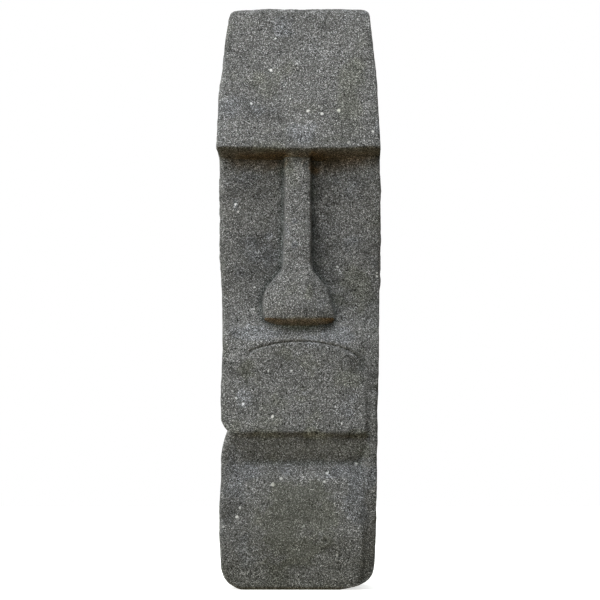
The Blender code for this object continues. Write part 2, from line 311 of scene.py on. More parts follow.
@dataclass(frozen=True)
class Face:
    """Forehead, cheeks, chin and neck, with the border down the right of them."""

    cheek: Profile = Profile((
        (AT.top, 0.084), (AT.brow_edge, 0.018), (AT.brow_root, 0.055), (0.640, 0.059),
        (0.520, 0.056), (0.480, 0.051), (0.452, 0.041), (0.422, 0.017), (0.370, 0.015),
        (0.320, 0.009), (AT.chin_edge, 0.002), (AT.chin_root, 0.010),
        (AT.neck_back, 0.0165), (AT.neck_foot, 0.0240), (AT.plinth_top, 0.011),
        (0.150, 0.006), (0.090, 0.004), (0.000, 0.014),
    ))
    border: Profile = Profile((
        (AT.top, 0.084), (AT.brow_edge, 0.020), (0.7375, 0.048), (0.520, 0.052),
        (0.480, 0.048), (0.452, 0.040), (0.422, 0.0185), (0.390, 0.0165), (0.370, 0.0165),
        (0.290, 0.011), (0.225, 0.010), (0.145, 0.008), (0.000, 0.014),
    ))
    border_line: Profile = Profile((
        (AT.top, 0.1190), (AT.neck_back, 0.1185), (AT.neck_foot, 0.1165),
        (AT.plinth_top, 0.1175), (0.110, 0.1165), (0.040, 0.1120), (0.000, 0.1080),
    ))
    border_step: Profile = Profile((
        (0.452, 0.070), (0.422, 0.040), (0.400, 0.012), (0.370, 0.009),
        (AT.chin_edge, 0.007), (AT.neck_back, 0.008), (AT.neck_foot, 0.014), (0.000, 0.010),
    ))
    border_turn: Profile = Profile((
        (0.500, 0.30), (0.320, 0.25), (0.170, 0.15), (0.110, 0.50), (0.060, 0.90),
        (0.000, 1.00),
    ))
    turn_lead: float = 0.010
    brow_sag: float = 0.0036
    sag_places: Four = (-0.130, 0.050, 0.085, 0.125)
    sag_return: float = 0.9
    sag_levels: Four = (0.660, 0.730, 0.765, 0.850)
    nose_lean: float = 0.012
    lean_reach: float = 0.060
    lean_levels: Four = (0.428, 0.444, 0.462, 0.500)
    neck_fade: Pair = (-0.128, -0.068)
    neck_fill: float = 0.80
    nose: Nose = Nose()
    mouth: Mouth = Mouth()

    def unnecked(self, level: float) -> float:
        """Setback of the front if the neck were not cut in, and large away from the neck."""
        if not AT.plinth_top < level < AT.chin_edge:
            return 1.0
        share = (level - AT.plinth_top) / (AT.chin_edge - AT.plinth_top)
        return self.cheek.at(AT.plinth_top) * (1.0 - share) + self.cheek.at(AT.chin_edge) * share

    def border_lines(self, level: float) -> Pair:
        """Inner and outer line of the step between the cheek and the border."""
        line = self.border_line.at(level, EDGE_EASE)
        return line - self.border_step.at(level, EDGE_EASE), line

    def setback(self, x: np.ndarray, level: float) -> np.ndarray:
        """Read how far the face is set back from its foremost plane.

        Args:
            x: Places across the face.
            level: Height above the ground.

        Returns:
            The setback at each place.
        """
        soft = self.mouth.soft_share(x, level)
        crisp = self.cheek.at(level, EDGE_EASE)
        cheek = crisp * (1.0 - soft) + self.cheek.at(level, self.mouth.soft_ease) * soft
        filled = self.neck_fill * ease(x, self.neck_fade[1], self.neck_fade[0])
        cheek = cheek - filled * np.maximum(0.0, cheek - self.unnecked(level))
        inner, line = self.border_lines(level)
        past = np.maximum(0.0, x - line + self.turn_lead)
        turn = self.border_turn.at(level) * past ** 2 / (past + self.turn_lead)
        share = ease(x, inner, line)
        ground = cheek * (1.0 - share) + (self.border.at(level, EDGE_EASE) + turn) * share
        return self.nose.over(ground, x, level) + self.mouth.cut(x, level)

    def droop(self, x: np.ndarray, level: float) -> np.ndarray:
        """How far a level line droops at x: along the mouth and the brow, and under the nose."""
        bottom, low, high, top = self.sag_levels
        band = ease(level, bottom, low) * ease(level, top, high)
        start, full, turn, end = self.sag_places
        across = ease(x, start, full) * (1.0 - self.sag_return * ease(x, turn, end))
        sag = self.mouth.droop(x, level) + self.brow_sag * band * across
        bottom, low, high, top = self.lean_levels
        band = ease(level, bottom, low) * ease(level, top, high)
        return sag - self.nose_lean * band * np.clip(x, -self.lean_reach, self.lean_reach)

    def levels(self) -> set[float]:
        """Levels at which the carving turns."""
        crisp = (AT.brow_edge, AT.brow_root, AT.nose_base, AT.nose_root)
        crisp = crisp + (AT.chin_edge, AT.chin_root)
        marks = self.cheek.levels() | self.nose.front.levels()
        steps = (-1.0, -0.5, 0.5, 1.0)
        marks |= {level + step * EDGE_EASE for level in crisp for step in steps}
        shares = (-1.0, -0.5, 0.0, 0.5, 1.0)
        return marks | {AT.mouth + share * self.mouth.half_cut for share in shares}


@dataclass(frozen=True)
class Block:
    """The block that the head is cut from: its sides, back, crown and foot."""

    depth: float = 0.230
    back_setback: Profile = Profile((
        (0.000, 0.004), (0.300, 0.000), (0.760, 0.002), (AT.top, 0.010),
    ))
    left: Profile = Profile((
        (AT.top, 0.1195), (0.960, 0.1256), (0.915, 0.1304), (0.843, 0.1370),
        (AT.brow_edge, 0.1415), (AT.brow_root, 0.1368), (0.560, 0.1353), (0.480, 0.1315),
        (0.422, 0.1300), (0.370, 0.1310), (0.320, 0.1308), (AT.neck_back, 0.1303),
        (0.150, 0.1324), (0.090, 0.1330), (0.000, 0.1295),
    ))
    right: Profile = Profile((
        (AT.top, 0.1205), (0.880, 0.1328), (AT.brow_edge, 0.1404), (AT.brow_root, 0.1393),
        (0.640, 0.1391), (0.480, 0.1370), (0.422, 0.1352), (0.370, 0.1341), (0.320, 0.1326),
        (AT.plinth_top, 0.1327), (0.150, 0.1311), (0.000, 0.1275),
    ))
    side_taper: float = 0.006
    left_radius: float = 0.009
    right_radius: float = 0.0045
    back_radius: float = 0.016
    notch_level: float = 0.2655
    notch_depth: float = 0.0110
    notch_reach: Pair = (0.024, 0.048)
    notch_powers: Pair = (2.2, 2.0)
    crown_radius: float = 0.011
    crown_dome: float = 0.0015
    crown_bow: float = 0.0022
    bow_levels: Pair = (0.930, 0.990)
    foot_radius: float = 0.007
    left_foot: Pair = (0.0320, 0.0115)
    right_foot: Pair = (0.0575, 0.0101)
    foot_end: float = 0.050
    turn_steps: int = 9
    turn_power: float = 1.6

    def crown_inset(self, level: float) -> float:
        """Inset of the outline where the crown is rounded."""
        return quarter_round(AT.top - self.crown_dome - level, self.crown_radius)

    def bow(self, x: np.ndarray, level: float) -> np.ndarray:
        """How far the crown's level lines drop towards its left and right ends."""
        half = self.left.at(AT.top)
        return self.crown_bow * ease(level, *self.bow_levels) * np.minimum(1.0, (x / half) ** 2)

    def edge_inset(self, level: float) -> float:
        """Inset of front and back where the crown and the foot are rounded."""
        return self.crown_inset(level) + quarter_round(level, self.foot_radius)

    def foot_cut(self, level: float, foot: Pair) -> float:
        """Width lost at a level where a lower corner is cut away."""
        width, height = foot
        return width * math.exp(-level / height)

    def half_widths(self, level: float) -> Pair:
        """Left and right half widths at a level."""
        crown = self.crown_inset(level)
        left = self.left.at(level, EDGE_EASE) - self.foot_cut(level, self.left_foot)
        right = self.right.at(level, EDGE_EASE) - self.foot_cut(level, self.right_foot)
        return left - crown, right - crown

    def notch(self, level: float) -> float:
        """Depth of the notch that the neck cuts into the left side."""
        reach_above, reach_below = self.notch_reach
        upper_power, lower_power = self.notch_powers
        above = np.clip((level - self.notch_level) / reach_above, 0.0, 1.0)
        below = np.clip((self.notch_level - level) / reach_below, 0.0, 1.0)
        return self.notch_depth * (1.0 - above) ** upper_power * (1.0 - below) ** lower_power

    def back_line(self, level: float) -> float:
        """Place of the back face at a level."""
        return self.depth / 2.0 - self.back_setback.at(level) - self.edge_inset(level)

    def levels(self) -> set[float]:
        """Levels at which the block's own outline turns."""
        marks = self.left.levels() | self.right.levels()
        turns = np.linspace(0.0, 1.0, self.turn_steps) ** self.turn_power
        rim = AT.top - self.crown_dome
        marks |= {float(rim - self.crown_radius * turn) for turn in turns}
        marks |= {float(self.foot_end * turn) for turn in turns}
        return marks


@dataclass
class Grid:
    """A closed sheet of points, in rows that run round the block."""

    points: np.ndarray

    def across(self, steps: int) -> np.ndarray:
        """The points moved round by a number of columns."""
        return np.roll(self.points, steps, axis=1)

    def normals(self) -> np.ndarray:
        """Outward normal at each point."""
        along = self.across(-1) - self.across(1)
        upward = np.gradient(self.points, axis=0)
        out = np.cross(along, upward)
        return out / np.maximum(np.linalg.norm(out, axis=2, keepdims=True), 1e-12)

    def smoothed(self, values: np.ndarray, rounds: int) -> np.ndarray:
        """Blur values that are held at the points.

        Args:
            values: One number or vector for each point.
            rounds: How many times each is averaged with its neighbours.

        Returns:
            The blurred values.
        """
        for _ in range(rounds):
            values = (np.roll(values, 1, 1) + np.roll(values, -1, 1) + 2.0 * values) / 4.0
            middle = (values[:-2] + values[2:] + 2.0 * values[1:-1]) / 4.0
            values = np.concatenate((values[:1], middle, values[-1:]))
        return values

    def bulge(self, rounds: int) -> np.ndarray:
        """How far each point stands out from its blurred surroundings."""
        apart = self.points - self.smoothed(self.points, rounds)
        return np.sum(apart * self.normals(), axis=2)


def field_of(points: np.ndarray, size: float, seed: int, octaves: int = 2) -> np.ndarray:
    """Smooth noise over a surface.

    Args:
        points: Points of the surface, as rows of x, y and z.
        size: Size of the largest waves.
        seed: Number that tells one field from another.
        octaves: How many halvings of the size are added.

    Returns:
        Noise of about -1 to 1 at each point.
    """
    flat = points.reshape(-1, 3) / size + seed * SEED_GAP
    values = [noise.fractal(Vector(place), 1.0, 2.0, octaves) for place in flat]
    return np.array(values).reshape(points.shape[:-1])


def vectors_of(points: np.ndarray, size: float, seed: int) -> np.ndarray:
    """Smooth vector noise over a surface, like field_of; its seed makes every run alike."""
    noise.seed_set(seed)
    flat = points.reshape(-1, 3) / size + seed * SEED_GAP
    values = [noise.noise_vector(Vector(place)) for place in flat]
    return np.array(values).reshape(points.shape)


def squared_reach(points: np.ndarray, centre: Pair, half_size: Pair, lean: float) -> np.ndarray:
    """How far points lie from the middle of an oval on the face.

    Args:
        points: Points of the surface.
        centre: Middle of the oval, as x and z.
        half_size: Its half width and half height.
        lean: How far its top leans to the left, in degrees.

    Returns:
        The square of the distance from the middle, which is 1 on the oval.
    """
    x = points[..., 0] - centre[0]
    z = points[..., 2] - centre[1]
    turn = math.radians(lean)
    across = (x * math.cos(turn) - z * math.sin(turn)) / half_size[0]
    along = (x * math.sin(turn) + z * math.cos(turn)) / half_size[1]
    return across ** 2 + along ** 2


@dataclass(frozen=True)
class Hollow:
    """A soft dent in the face; it may end at a steeper edge on its right."""

    centre: Pair
    half_size: Pair
    lean: float
    depth: float
    end: float = 0.0
    edge: float = 0.004
    fade: Pair = (-0.05, -0.08)

    def at(self, points: np.ndarray) -> np.ndarray:
        """Depth of the dent at each point, which fades behind the face."""
        front = ease(points[..., 1], *self.fade)
        if self.end:
            front = front * ease(points[..., 0], self.end, self.end - self.edge)
        reach = squared_reach(points, self.centre, self.half_size, self.lean)
        return self.depth * np.exp(-reach) * front


@dataclass(frozen=True)
class Patch:
    """A soft-edged patch on the face: a stain or bloom, or painted light or shade.

    Its tone makes the stone lighter or darker, or is the amount of painted underside shade or of
    film, and its hue makes it bluer above 0 and more olive below.
    """

    centre: Pair
    half_size: Pair
    tone: float
    hue: float = 0.0
    lean: float = 0.0
    rim: Pair = (1.25, 0.35)
    raggedness: float = 0.45
    fade: Pair = (0.0, -0.03)

    def share(self, points: np.ndarray, edge: np.ndarray) -> np.ndarray:
        """How strong the patch is at each point.

        Args:
            points: Points of the surface.
            edge: Noise that makes the patch's edge uneven.

        Returns:
            1 in its middle and 0 outside.
        """
        reach = np.sqrt(squared_reach(points, self.centre, self.half_size, self.lean))
        reach += self.raggedness * edge
        return ease(reach, *self.rim) * ease(points[..., 1], *self.fade)


@dataclass(frozen=True)
class TonePatches:
    """Patches that leave the face lighter, darker or tinted: stains and spots in the stone, and
    painted light and shade where marked.
    """

    forehead: tuple[Patch, ...] = (
        Patch((0.000, 0.975), (0.150, 0.050), -0.14),
        Patch((-0.100, 0.915), (0.040, 0.045), -0.14),
        Patch((-0.006, 0.900), (0.016, 0.016), 0.14),
        Patch((0.000, 0.812), (0.030, 0.018), 0.12),
        Patch((-0.070, 0.762), (0.085, 0.016), -0.14),
        Patch((-0.123, 0.800), (0.022, 0.056), 0.10, 0.4, 8.0),
        Patch((-0.020, 0.772), (0.095, 0.020), 0.03, 0.4),
        Patch((-0.026, 0.968), (0.009, 0.006), 0.30, 1.5),
        Patch((0.056, 0.950), (0.008, 0.009), 0.40, 1.0),
        Patch((0.095, 0.850), (0.030, 0.060), -0.04, -1.0),
        Patch((-0.060, 0.850), (0.030, 0.030), -0.05, -0.6),
    )
    cheeks: tuple[Patch, ...] = (
        # Painted shade over the left eye field, as under the brow.
        Patch((-0.068, 0.635), (0.042, 0.085), -0.16),
        # Painted shade on the left cheek beside the nose.
        Patch((-0.060, 0.545), (0.050, 0.070), -0.22, 0.3),
        # Painted shadow that the nose ridge casts to its right.
        Patch((0.0275, 0.620), (0.0085, 0.120), -0.24),
        # Painted shade over the right eye field, under the brow.
        Patch((0.055, 0.680), (0.040, 0.040), -0.13),
        # Painted shade on the right cheek beside the nose.
        Patch((0.045, 0.525), (0.030, 0.030), -0.15),
        Patch((0.115, 0.463), (0.020, 0.022), -0.20),
        # Painted shade over the outer right eye field.
        Patch((0.100, 0.655), (0.024, 0.060), -0.14),
        Patch((0.098, 0.505), (0.040, 0.042), -0.20, -0.9),
        Patch((-0.108, 0.650), (0.008, 0.018), 0.30, 1.4),
        Patch((-0.110, 0.674), (0.010, 0.010), -0.22),
        Patch((-0.072, 0.715), (0.005, 0.009), 0.30),
        Patch((-0.051, 0.600), (0.007, 0.007), 0.18, 1.5),
        Patch((0.045, 0.620), (0.018, 0.060), -0.06, 0.8),
        # Painted shade over the right eye field and cheek.
        Patch((0.082, 0.600), (0.050, 0.120), -0.13),
        # Painted shade on the left cheek.
        Patch((-0.075, 0.525), (0.050, 0.060), -0.11),
        Patch((0.122, 0.480), (0.014, 0.032), -0.14),
    )
    nose: tuple[Patch, ...] = (
        # Painted light: the nose ridge lighter than the face beside it.
        Patch((-0.002, 0.600), (0.024, 0.110), 0.08),
        Patch((-0.0075, 0.621), (0.0050, 0.0045), -0.40, 1.2),
        Patch((-0.0070, 0.581), (0.0055, 0.0045), -0.40, 1.2),
        # Painted shade on the right shoulder of the nostril.
        Patch((0.0200, 0.497), (0.0090, 0.0200), -0.14, -1.2),
        Patch((0.0145, 0.472), (0.0080, 0.0040), -0.28),
        Patch((-0.0350, 0.498), (0.0160, 0.0200), 0.08),
        # Painted light where the nose shades the upper lip, here and in the next patch.
        Patch((-0.0050, 0.4480), (0.0650, 0.0110), 0.90, 0.2),
        Patch((0.0020, 0.4405), (0.0560, 0.0075), 0.45, -0.8),
        # Painted light at the root of the nose, in the shade of the brow.
        Patch((-0.0120, 0.7330), (0.0160, 0.0080), 0.60),
        Patch((0.0750, 0.7400), (0.0600, 0.0140), 0.20),
        # Painted highlight on the upper left of the nostril.
        Patch((-0.0240, 0.5200), (0.0120, 0.0180), 0.22),
        # Painted shade on the lower right of the nostril.
        Patch((0.0160, 0.4750), (0.0120, 0.0180), -0.12),
    )
    lips: tuple[Patch, ...] = (
        Patch((-0.075, 0.430), (0.060, 0.018), 0.00, 0.8),
        Patch((0.080, 0.430), (0.055, 0.018), 0.05, 1.1),
        Patch((-0.118, 0.465), (0.012, 0.030), -0.22),
    )
    chin: tuple[Patch, ...] = (
        Patch((-0.095, 0.366), (0.022, 0.016), -0.07, -1.0),
        Patch((-0.087, 0.345), (0.007, 0.010), -0.25, -0.8),
        Patch((0.090, 0.300), (0.040, 0.045), -0.02, 0.5),
        Patch((0.011, 0.330), (0.009, 0.004), 0.35, 1.5, -30.0),
        Patch((-0.016, 0.321), (0.006, 0.004), 0.35, 1.2),
        Patch((-0.093, 0.317), (0.016, 0.020), 0.06, 1.2),
        # Painted shade below the right end of the mouth, where its hollow turns down.
        Patch((0.100, 0.368), (0.022, 0.036), -0.24, -0.8, 20.0),
        Patch((0.090, 0.272), (0.040, 0.020), -0.08),
        Patch((0.020, 0.390), (0.060, 0.020), -0.06, -0.6),
        Patch((0.000, 0.325), (0.150, 0.070), 0.00, -0.4),
        Patch((-0.042, 0.2570), (0.022, 0.0055), 0.30, -0.6),
        Patch((0.030, 0.2580), (0.026, 0.0055), 0.30, -0.6),
        Patch((0.004, 0.366), (0.060, 0.028), -0.12),
        Patch((0.022, 0.2610), (0.020, 0.0080), 0.70, -1.8),
        Patch((0.098, 0.2610), (0.022, 0.0085), -0.05, -1.8),
        Patch((-0.052, 0.2610), (0.024, 0.0080), 0.20, -1.8),
        # Painted shade on the right edge below the end of the mouth.
        Patch((0.120, 0.352), (0.015, 0.032), -0.14),
    )
    plinth: tuple[Patch, ...] = (
        # Painted light at the left end of the neck, where light reaches in from the side.
        Patch((-0.108, 0.243), (0.036, 0.022), 0.24, 0.3),
        Patch((-0.105, 0.034), (0.024, 0.014), 0.12),
        Patch((0.105, 0.180), (0.022, 0.024), -0.14, 1.0),
        Patch((-0.120, 0.120), (0.014, 0.055), -0.12),
        Patch((0.112, 0.026), (0.030, 0.026), -0.20),
        Patch((0.000, 0.240), (0.120, 0.022), 0.05, -0.1),
        # Painted shade on the wall at the right end of the neck.
        Patch((0.113, 0.232), (0.008, 0.022), -0.25, -0.8),
        Patch((0.140, 0.450), (0.022, 0.480), -0.04),
        # Painted shade on the left side, dimming the light it catches.
        Patch((-0.140, 0.300), (0.020, 0.300), -0.12),
        # Painted light on the plinth's right border strip, which turns away from the light; here
        # and in the next patch.
        Patch((0.128, 0.130), (0.012, 0.080), 0.14),
        Patch((0.115, 0.075), (0.006, 0.050), 0.20),
        Patch((-0.056, 0.197), (0.080, 0.018), -0.10, 1.0),
        Patch((0.078, 0.197), (0.060, 0.020), -0.10, 1.0),
        Patch((0.030, 0.1885), (0.042, 0.0042), 0.22, 0.5),
        Patch((-0.005, 0.115), (0.080, 0.080), -0.03, -1.2),
        Patch((0.092, 0.145), (0.026, 0.034), 0.00, 1.2),
        Patch((-0.112, 0.155), (0.022, 0.034), -0.06, 1.0),
    )
    # Patches of painted underside shade: more under the brow, less under the nose.
    underside_shaded: tuple[Patch, ...] = (
        Patch((0.078, 0.720), (0.070, 0.027), 1.00),
        Patch((-0.075, 0.724), (0.074, 0.020), 0.65),
        Patch((-0.005, 0.449), (0.070, 0.012), -0.45),
    )
    filmed: tuple[Patch, ...] = (
        Patch((-0.010, 0.118), (0.095, 0.085), 0.24),
        Patch((0.010, 0.240), (0.100, 0.020), 0.20),
    )
    edge_size: float = 0.020

    def masks(self, grid: Grid) -> dict[str, np.ndarray]:
        """Add up the patches.

        Args:
            grid: The finished surface.

        Returns:
            Tone, hue, underside shade and film at each point, by name.
        """
        edge = field_of(grid.points, self.edge_size, seed=6, octaves=3)
        masks = {name: np.zeros(grid.points.shape[:2]) for name in ("tone", "hue", "underside_shade", "film")}
        areas = (self.forehead, self.cheeks, self.nose, self.lips, self.chin, self.plinth)
        for patch in chain(*areas):
            share = patch.share(grid.points, edge)
            masks["tone"] += patch.tone * share
            masks["hue"] += patch.hue * share
        for name, patches in (("underside_shade", self.underside_shaded), ("film", self.filmed)):
            for patch in patches:
                masks[name] += patch.tone * patch.share(grid.points, edge)
        return masks


@dataclass(frozen=True)
class Weathering:
    """What hand tools and years out of doors did to the surface."""

    sway: float = 0.0012
    sway_size: float = 0.075
    facet: float = 0.0011
    facet_size: float = 0.050
    ripple: float = 0.0006
    ripple_size: float = 0.017
    grain: float = 0.0002
    grain_size: float = 0.0065
    edge_rough: float = 3.0
    edge_bulge: float = 0.0010
    wear: float = 0.30
    wear_rounds: int = 6
    wear_size: float = 0.022
    least_wear: float = 0.25
    most_ragged: float = 1.6
    facet_cut: float = 0.10
    footing: float = 0.012
    chip_chance: float = 1e-4
    chips: int = 110
    chip_radius: Pair = (0.004, 0.010)
    chip_depth: Pair = (0.0006, 0.0022)
    pores: int = 420
    pore_radius: Pair = (0.0022, 0.0050)
    pore_depth: Pair = (0.0006, 0.0020)
    hollows: tuple[Hollow, ...] = (
        Hollow((-0.087, 0.358), (0.0090, 0.018), 10.0, 0.0030),
        Hollow((0.106, 0.378), (0.0130, 0.022), 30.0, 0.0065, 0.114),
    )
    seed: int = 11

    def dent(self, grid: Grid, centres: np.ndarray, radii: np.ndarray,
             depths: np.ndarray) -> np.ndarray:
        """Depth of many small round dents.

        Args:
            grid: The surface.
            centres: Numbers of the points that the dents lie at.
            radii: Radius of each dent.
            depths: Depth of each dent.

        Returns:
            Depth of the dents at each point.
        """
        flat = grid.points.reshape(-1, 3)
        tree = KDTree(len(flat))
        for index, place in enumerate(flat):
            tree.insert(place, index)
        tree.balance()
        depth = np.zeros(len(flat))
        for centre, radius, deepest in zip(centres, radii, depths):
            for _, index, distance in tree.find_range(Vector(flat[centre]), radius):
                share = 1.0 - (distance / radius) ** 2
                depth[index] = max(depth[index], deepest * share)
        return depth.reshape(grid.points.shape[:2])

    def apply(self, grid: Grid) -> np.ndarray:
        """Weather the surface in place.

        Args:
            grid: The carved surface.

        Returns:
            How deep the small dents are at each point, from 0 to 1.
        """
        draw = np.random.default_rng(self.seed)
        points = grid.points
        for hollow in self.hollows:
            points[..., 1] += hollow.at(points)
        footing = ease(points[..., 2], 0.0, self.footing)[..., None]
        points += footing * self.sway * vectors_of(points, self.sway_size, seed=1)
        edge = np.maximum(0.0, grid.bulge(self.wear_rounds))
        ragged = 0.5 + field_of(points, self.wear_size, seed=2, octaves=3)
        ragged = np.clip(ragged, 0.0, self.most_ragged) * (1.0 - self.least_wear)
        inward = self.wear * edge * (self.least_wear + ragged)
        inward += self.facet * (self.facet_cut + field_of(points, self.facet_size, seed=3))
        inward += self.ripple * field_of(points, self.ripple_size, seed=4)
        rough = 1.0 + self.edge_rough * np.clip(edge / self.edge_bulge, 0.0, 1.0)
        inward += self.grain * rough * field_of(points, self.grain_size, seed=5, octaves=1)
        sharp = edge.ravel() / edge.max() + self.chip_chance
        chipped = draw.choice(sharp.size, self.chips, replace=False, p=sharp / sharp.sum())
        pitted = draw.choice(sharp.size, self.pores, replace=False)
        chips = self.dent(
            grid, chipped, draw.uniform(*self.chip_radius, self.chips),
            draw.uniform(*self.chip_depth, self.chips),
        )
        pores = self.dent(
            grid, pitted, draw.uniform(*self.pore_radius, self.pores),
            draw.uniform(*self.pore_depth, self.pores),
        )
        inward += chips + pores
        points -= footing * inward[..., None] * grid.normals()
        return np.clip(pores / self.pore_depth[1], 0.0, 1.0)


@dataclass
class StoneHead:
    """The carved head: one closed mesh, lofted from level outlines."""

    block: Block = field(default_factory=Block)
    face: Face = field(default_factory=Face)
    ears: Ears = field(default_factory=Ears)
    weathering: Weathering = field(default_factory=Weathering)
    tone_patches: TonePatches = field(default_factory=TonePatches)
    row_gap: float = 0.0036
    least_gap: float = 0.0009
    face_columns: tuple[int, ...] = (32, 4, 9, 9, 4, 29, 5, 4)
    side_columns: tuple[int, ...] = (15, 3, 14, 3, 18)
    back_columns: int = 50
    edge_columns: int = 8
    crown_rings: int = 12
    foot_rings: int = 3
    least_step: float = 0.003
    shelter_stride: int = 2
    shelter_reach: float = 0.10
    shelter_rays: int = 16
    ray_start: float = 0.0015
    worn_bulge: float = 0.0012

    def face_knots(self, level: float, left: float, right: float) -> tuple[float, ...]:
        """Places across the face that its columns are spread between."""
        nose_left, nose_right = self.face.nose.half_widths(level)
        flanks = self.face.nose.flanks
        flank_left, flank_right = nose_left + flanks[0], nose_right + flanks[1]
        edge = right - self.block.right_radius
        inner, line = self.face.border_lines(level)
        line = min(line, edge - self.least_step)
        inner = max(min(inner, line - self.least_step), flank_right + self.least_step)
        return (
            self.block.left_radius - left, -flank_left, -nose_left, 0.0,
            nose_right, flank_right, inner, line, edge,
        )

    def arc(self, centre: Pair, radius: float, start: float) -> np.ndarray:
        """Points on a quarter arc, counter-clockwise and without its last point.

        Args:
            centre: Middle of the arc, as x and y.
            radius: Its radius.
            start: Angle of its first point, in degrees.

        Returns:
            One row of x and one of y.
        """
        turn = np.linspace(start, start + 90.0, self.edge_columns, endpoint=False)
        angle = np.radians(turn)
        return np.stack((
            centre[0] + radius * np.cos(angle), centre[1] + radius * np.sin(angle),
        ))

    def side(self, half: float, cut: float, level: float, start: float,
             end: float) -> tuple[np.ndarray, np.ndarray]:
        """Half widths and places along one side.

        Args:
            half: Half width at the front of the side.
            cut: Depth of a notch in its front edge.
            level: Height above the ground.
            start: Place of its first point; it may lie behind end.
            end: Place that its last point stops short of.

        Returns:
            The half widths and the places.
        """
        front, back = sorted((start, end))
        ear_front, ear_back = self.ears.span
        slope = self.ears.slope()
        knots = (front, ear_front, ear_front + slope, ear_back - slope, ear_back, back)
        forwards = start > end
        counts = self.side_columns[::-1] if forwards else self.side_columns
        y = spread(knots[::-1] if forwards else knots, counts)
        share = (y - front) / (back - front)
        width = half - cut * (1.0 - share ** 3) - self.block.side_taper * share ** 2
        return width + self.ears.at(y, level), y

    def outline(self, level: float) -> np.ndarray:
        """One closed outline, counter-clockwise from the left of the face.

        Args:
            level: Height above the ground.

        Returns:
            Its points, as rows of x, y and z.
        """
        block = self.block
        inset = block.edge_inset(level)
        left, right = block.half_widths(level)
        cut = block.notch(level)
        knots = self.face_knots(level, left - cut, right)
        face_x = spread(knots, self.face_columns)
        face_y = self.face.setback(face_x, level) + inset - block.depth / 2.0
        ends = self.face.setback(np.array((knots[0], knots[-1])), level)
        left_y = ends[0] + inset - block.depth / 2.0 + block.left_radius
        right_y = ends[1] + inset - block.depth / 2.0 + block.right_radius
        back_y = block.back_line(level)
        turn_y = back_y - block.back_radius
        back_left = block.side_taper + block.back_radius - left
        back_right = right - block.side_taper - block.back_radius
        left_widths, left_places = self.side(left, cut, level, turn_y, left_y)
        back_x = spread((back_right, back_left), (self.back_columns,))
        pieces = (
            (face_x, face_y),
            self.arc((knots[-1], right_y), block.right_radius, -90.0),
            self.side(right, 0.0, level, right_y, turn_y),
            self.arc((back_right, turn_y), block.back_radius, 0.0),
            (back_x, np.full(self.back_columns, back_y)),
            self.arc((back_left, turn_y), block.back_radius, 90.0),
            (-left_widths, left_places),
            self.arc((knots[0], left_y), block.left_radius, 180.0),
        )
        x, y = np.hstack([np.stack(piece) for piece in pieces])
        fade = ease(y, block.depth / 4.0, -block.depth / 4.0)
        z = level - fade * self.face.droop(x, level) - block.bow(x, level)
        return np.column_stack((x, y, z))

    def levels(self) -> list[float]:
        """Levels of the outlines, from the ground up."""
        marks = sorted((self.face.levels() | self.block.levels()) - {AT.top})
        levels = [marks[0]]
        for mark in marks[1:]:
            gap = mark - levels[-1]
            if gap < self.least_gap:
                continue
            steps = math.ceil(gap / self.row_gap)
            levels.extend(np.linspace(levels[-1], mark, steps + 1)[1:])
        return levels

    def sheet(self) -> Grid:
        """The carved surface, with the crown's rings on top and the foot's below."""
        rows = [self.outline(level) for level in self.levels()]
        rim, sole = rows[-1], rows[0]
        centre = (rim.min(axis=0) + rim.max(axis=0)) / 2.0
        for scale in np.linspace(1.0, 0.0, self.crown_rings + 1)[1:-1]:
            ring = centre + (rim - centre) * scale
            ring[:, 2] = AT.top - self.block.crown_dome * scale ** 2
            ring[:, 2] -= self.block.bow(ring[:, 0], AT.top)
            rows.append(ring)
        middle = (sole.min(axis=0) + sole.max(axis=0)) / 2.0
        for scale in np.linspace(1.0, 0.0, self.foot_rings + 1)[1:-1]:
            rows.insert(0, middle + (sole - middle) * scale)
        points = np.stack(rows)
        low, high = points.min(axis=(0, 1)), points.max(axis=(0, 1))
        points -= np.array(((low[0] + high[0]) / 2.0, (low[1] + high[1]) / 2.0, 0.0))
        return Grid(points)

    def shelter(self, grid: Grid) -> np.ndarray:
        """How much of the open air over each point other stone takes.

        Args:
            grid: The finished surface.

        Returns:
            0 in the open and up to 1 in a deep corner, at each point.
        """
        step = self.shelter_stride
        coarse = Grid(grid.points[::step, ::step])
        count = coarse.points.shape[1]
        flat = coarse.points.reshape(-1, 3)
        faces = ring_faces(coarse.points.shape[0], count)
        tree = BVHTree.FromPolygons([tuple(p) for p in flat], faces)
        normals = coarse.normals().reshape(-1, 3)
        rays = hemisphere(self.shelter_rays)
        covered = np.zeros(len(flat))
        for index, (place, out) in enumerate(zip(flat, normals)):
            turn = Vector(out).to_track_quat("Z", "Y")
            start = Vector(place) + Vector(out) * self.ray_start
            for ray in rays:
                hit = tree.ray_cast(start, turn @ ray, self.shelter_reach)
                if hit[3] is not None:
                    covered[index] += (1.0 - hit[3] / self.shelter_reach) / len(rays)
        values = coarse.smoothed(covered.reshape(coarse.points.shape[:2]), 1)
        rows, columns = grid.points.shape[:2]
        at_row = np.minimum(np.arange(rows) / step, values.shape[0] - 1.0)
        full = np.stack([
            np.interp(at_row, np.arange(values.shape[0]), column) for column in values.T
        ], axis=1)
        at_column = np.arange(columns) / step
        padded = np.concatenate((full, full[:, :1]), axis=1)
        return np.stack([
            np.interp(at_column, np.arange(padded.shape[1]), row) for row in padded
        ])

